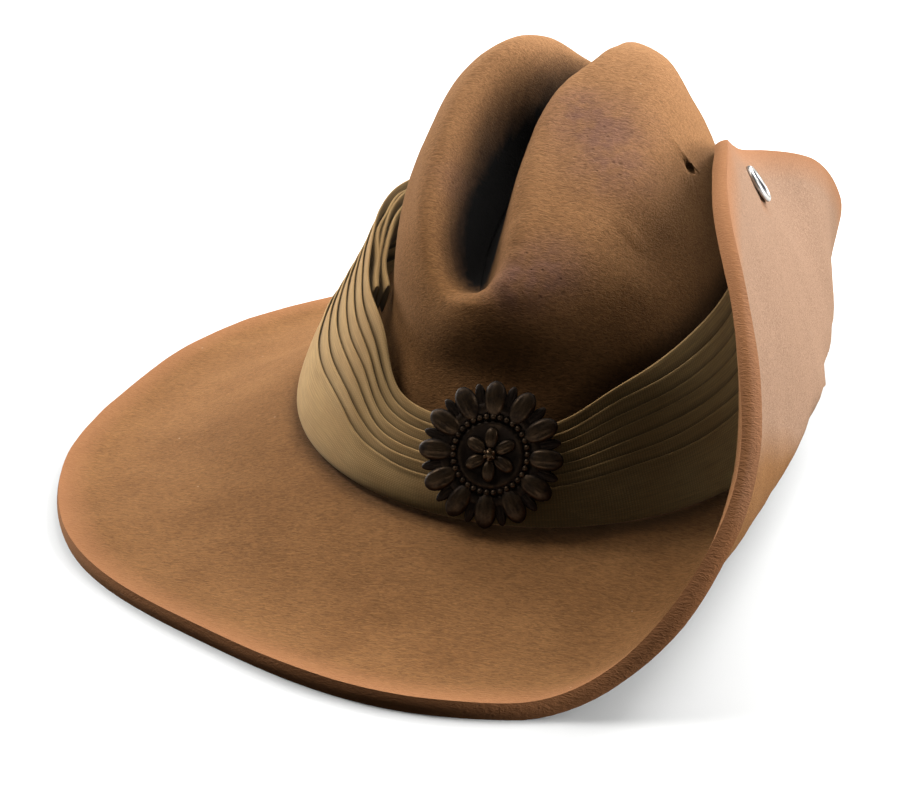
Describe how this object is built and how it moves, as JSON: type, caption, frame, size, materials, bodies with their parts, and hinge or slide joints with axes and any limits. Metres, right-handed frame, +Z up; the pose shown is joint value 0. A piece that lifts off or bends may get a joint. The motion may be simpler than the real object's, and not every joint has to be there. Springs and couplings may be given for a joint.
{
  "type": "slouch hat",
  "caption": "Fur felt slouch hat with a creased crown, a wide brim turned up and held by a stud on the wearer's left, a pleated cloth band and a cast metal badge on the front.",
  "frame": {"origin": "middle of the hat's plan, on the surface that the brim lies on", "axes": "+Z up through the crown, front of the hat towards -Y, wearer's left and the turned-up side towards +X"},
  "size_m": [0.2634, 0.384, 0.1392],
  "materials": {
    "felt": "matt brown khaki fur felt with a short nap",
    "cloth": "matt khaki woven cloth",
    "bronze": "dark oxidised cast bronze",
    "steel": "worn nickel with a dark dished centre"
  },
  "bodies": {
    "root": {"felt_body": "felt", "puggaree": "cloth", "badge": "bronze", "brim_stud": "steel"}
  },
  "joints": []
}
